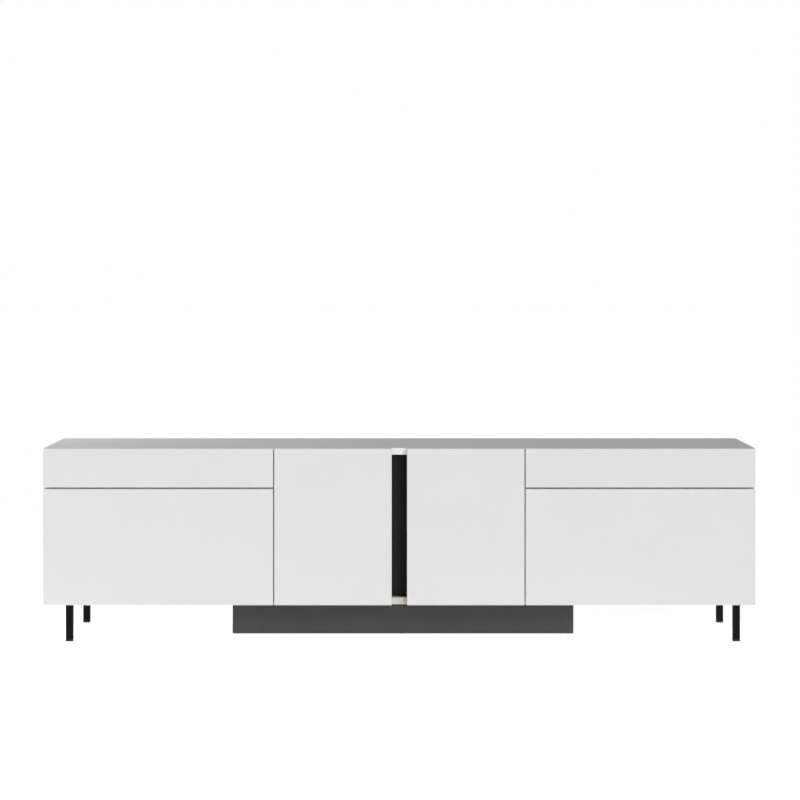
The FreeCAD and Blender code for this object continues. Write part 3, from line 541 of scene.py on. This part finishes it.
inner_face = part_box("divider_right")[0][0]
pin_low, pin_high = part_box("shelf_pins")
pin_radius = (pin_high[2] - pin_low[2]) / 2
collar = turned([(0, -0.0002), (0.0034, -0.0002), (0.0042, 0.0002), (0.0042, 0.0009), (0.0036, 0.0013),
                 (0, 0.0013)])
collar_spots = [((side * inner_face, y, pin_low[2] + pin_radius), (-side, 0, 0))
                for side in (-1, 1) for y in (pin_low[1] + pin_radius, pin_high[1] - pin_radius)]
piece("shelf_pin_collars", set_at(collar, collar_spots), zinc, "carcass")


# ---------------------------------------------------------------- drawers
# Each is a box of thin faced boards, open above, behind a lacquered front. The front is as wide as the
# bay, so it hides the box and its runners.
coat(white_lacquer, "drawer_left_front", "drawer_right_front")
coat(white_melamine, "drawer_left_box", "drawer_right_box")


# ---------------------------------------------------------------- drawer runners
# Three rolled steel channels on each side of a drawer. Rows of balls in thin cages run between them: the
# outer rows at the back of the middle channel and the inner rows at its front.
moving_members = [f"runner_{side}_{member}_members" for side in ("left", "right")
                  for member in ("middle", "drawer")]
coat(zinc, "runner_cabinet_members", *moving_members)

ball_steel = plated("ball_steel", (0.66, 0.66, 0.67), 0.14, 30.0)
runner_height = 0.482
outer_row = dict(radius=0.0013, away=0.006, apart=0.0149, start=0.010, end=0.160)
inner_row = dict(radius=0.00085, away=0.008, apart=0.0114, start=-0.165, end=-0.015)


def ball(radius):
    """A small ball: a half circle, from its lowest point to its highest, turned round its axis."""
    climb = np.linspace(0, math.pi, 7)
    return turned(radius * np.column_stack([np.sin(climb), -np.cos(climb)]), around=8)


def cage(radius, length):
    """A thin curved strip along y that holds a row of balls: a crescent between two arcs about the row, one
    a twentieth larger than the balls and one a quarter larger, carried along it."""
    bow = np.linspace(-0.9, 0.9, 7)
    around = np.stack([np.cos(bow), np.sin(bow)], axis=-1)
    outline = np.concatenate([1.25 * radius * around, 1.05 * radius * around[::-1]])
    points, faces = carried(outline, -length / 2, length / 2)
    return points[:, [0, 2, 1]] * (1, 1, -1), faces


def ball_row(x, z, radius, start, end):
    """Fourteen balls in line along y, in their cage."""
    places = [((x, y, z), (0, 0, 1)) for y in np.linspace(start, end, 14)]
    points, faces = cage(radius, end - start + 0.01)
    return [set_at(ball(radius), places), (points + (x, (start + end) / 2, z), faces)]


for name, side in (("left", -1), ("right", 1)):
    rows = []
    for face, towards in ((side * side_face, -side), (side * divider_face, side)):
        for row in (outer_row, inner_row):
            for up in (-1, 1):
                rows += ball_row(face + towards * row["away"], runner_height + up * row["apart"],
                                 row["radius"], row["start"], row["end"])
    piece(f"runner_{name}_balls", joined(rows), ball_steel, f"runner_{name}", sharp=50)


# ---------------------------------------------------------------- doors
# Lacquered boards on cup hinges at their outer edges. A cup is pressed into each door and held by two
# screws; the arm's foot is screwed to the divider, and two more screws adjust the arm.
coat(white_lacquer, "door_left_panel", "door_right_panel")
nickel = plated("nickel_plate", (0.62, 0.61, 0.585), 0.26, 40.0)
coat(nickel, "door_hinge_arms", *(f"door_{side}_hinge_{part}" for side in ("left", "right")
                                  for part in ("cups", "links")))

small_screw = cross_head(radius=0.0033, dome=0.0006, width=0.0009, arm=0.0016, recess=0.0009, skirt=0.0006)
set_screw = cross_head(radius=0.0026, dome=0.0002, width=0.0008, arm=0.0013, recess=0.0009, skirt=0.0004)
front_face, door_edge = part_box("door_right_panel")[0][1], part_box("door_right_panel")[1][0]
door_hinges = (0.195, 0.455)
cup_back, cup_screw_in, cup_screw_apart = front_face + 0.0202, 0.032, 0.0245
foot_back, foot_screw_apart, door_foot, flap_foot = front_face + 0.059, 0.0175, 0.010, 0.021
adjusters_back, web_face = (front_face + 0.045, front_face + 0.068), 0.0399
foot_spots, adjuster_spots = [], []
for name, side in (("left", -1), ("right", 1)):
    cup_spots = [((side * (door_edge - cup_screw_in), cup_back, z + up * cup_screw_apart), (0, 1, 0))
                 for z in door_hinges for up in (-1, 1)]
    piece(f"door_{name}_cup_screws", set_at(small_screw, cup_spots), nickel, f"door_{name}")
    foot_spots += [((side * (door_edge - door_foot), foot_back, z + up * foot_screw_apart), (-side, 0, 0))
                   for z in door_hinges for up in (-1, 1)]
    adjuster_spots += [((side * (door_edge - web_face), back, z), (-side, 0, 0))
                       for z in door_hinges for back in adjusters_back]


# ---------------------------------------------------------------- flaps
# Lacquered boards hung at their lower edges on the same cup hinges, whose arms are screwed to the bottom
# board. A foot for the stay is screwed high on the inner face, near the outer side.
coat(white_lacquer, "flap_left_panel", "flap_right_panel")
coat(nickel, "flap_hinge_arms", *(f"flap_{side}_hinge_links" for side in ("left", "right")),
     *(f"flap_{side}_fittings" for side in ("left", "right")))

flap_low, flap_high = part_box("flap_right_panel")
hinge_from_end = 0.11
stay_foot, stay_foot_back, stay_foot_height = side_face - 0.0216, front_face + 0.021, 0.2947
stay_screw_apart = 0.013
for name, side in (("left", -1), ("right", 1)):
    flap_hinges = [side * x for x in (flap_low[0] + hinge_from_end, flap_high[0] - hinge_from_end)]
    screw_spots = [((x + along * cup_screw_apart, cup_back, flap_low[2] + cup_screw_in), (0, 1, 0))
                   for x in flap_hinges for along in (-1, 1)]
    foot_screws = (stay_foot_height - stay_screw_apart, stay_foot_height + stay_screw_apart)
    screw_spots += [((side * stay_foot, stay_foot_back, z), (0, 1, 0)) for z in foot_screws]
    piece(f"flap_{name}_screws", set_at(small_screw, screw_spots), nickel, f"flap_{name}")
    foot_spots += [((x + along * foot_screw_apart, foot_back, flap_low[2] + flap_foot), (0, 0, 1))
                   for x in flap_hinges for along in (-1, 1)]
    adjuster_spots += [((x, back, flap_low[2] + web_face), (0, 0, 1))
                       for x in flap_hinges for back in adjusters_back]
piece("hinge_foot_screws", set_at(small_screw, foot_spots), nickel, "carcass")
piece("hinge_adjusters", set_at(set_screw, adjuster_spots), nickel, "carcass")


# ---------------------------------------------------------------- flap stays
# Two flat arms beside the outer side board, riveted to a bracket above and to a foot on the flap. The
# bracket is screwed to the side board.
stay_arms = [f"stay_{side}_{arm}_arm" for side in ("left", "right") for arm in ("upper", "lower")]
coat(nickel, "stay_brackets", *stay_arms)
bracket_low, bracket_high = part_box("stay_brackets")
bracket_middle, bracket_wall = (bracket_low[1] + bracket_high[1]) / 2, 0.0016
screw_down, bracket_screw_apart = 0.0055, 0.0095
stay_spots = [((side * (side_face - bracket_wall), bracket_middle + along * bracket_screw_apart,
                bracket_high[2] - screw_down), (-side, 0, 0)) for side in (-1, 1) for along in (-1, 1)]
low_head = cross_head(radius=0.003, dome=0.0004, width=0.0008, arm=0.0014, recess=0.0005, skirt=0.0003)
piece("stay_bracket_screws", set_at(low_head, stay_spots), nickel, "carcass")


# ---------------------------------------------------------------- push latches and bumpers
# White plastic latches under the drawer shelves push the flaps open. Soft domed bumpers on the board edges
# take the closing knock.
coat(white_plastic, "latch_housings", "latch_left_plunger", "latch_right_plunger")

soft = moulded("soft_clear", (0.62, 0.62, 0.60), 0.3, 300.0)
dome = turned([(0, 0), (0.0035, 0), (0.0033, 0.0009), (0.0029, 0.0016), (0.0022, 0.0021), (0.0012, 0.00235),
               (0, 0.0024)])
board_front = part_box("bumpers")[1][1]
shelf_line, door_bumper_in = 0.4335, 0.08
divider_bumper, side_bumper = 0.3585, 0.9905
bumper_points = [(door_bumper_in, 0.1145), (door_bumper_in, 0.5355)]
bumper_points += [(x, shelf_line + up) for x in (divider_bumper, side_bumper) for up in (0.05, -0.04)]
dome_spots = [((side * x, board_front, z), (0, -1, 0)) for side in (-1, 1) for x, z in bumper_points]
domes = piece("bumper_domes", set_at(dome, dome_spots), soft, "carcass")
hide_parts("bumpers")
